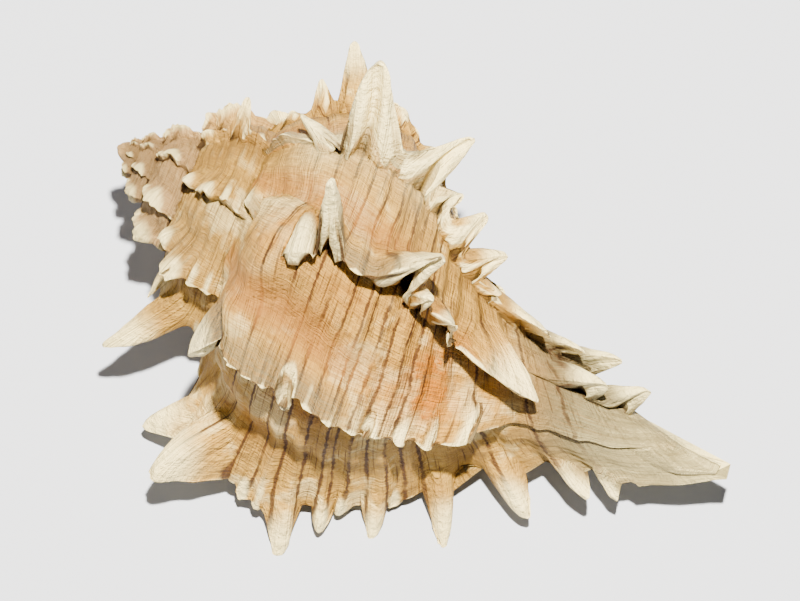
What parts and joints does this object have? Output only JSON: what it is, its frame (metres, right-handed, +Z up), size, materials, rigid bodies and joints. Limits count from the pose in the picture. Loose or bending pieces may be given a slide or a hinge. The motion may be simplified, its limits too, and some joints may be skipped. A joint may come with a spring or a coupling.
{
  "type": "murex shell",
  "caption": "Spiny right-handed murex sea shell with frilled growth ridges, long curved spines, a stepped spire, an open oval mouth and a tapering canal, lying mouth down.",
  "frame": {"origin": "middle of the bounding box's base, on the surface that the shell lies on", "axes": "+Z up out of the shell's back, +X from the spire's side towards the canal's side, -Y towards the outer lip"},
  "size_m": [0.1126, 0.085, 0.0738],
  "materials": {
    "shell": "dull, chalky, cream to tan with orange stains and thin red-brown spiral lines"
  },
  "bodies": {
    "root": {"shell": "shell"}
  },
  "joints": []
}
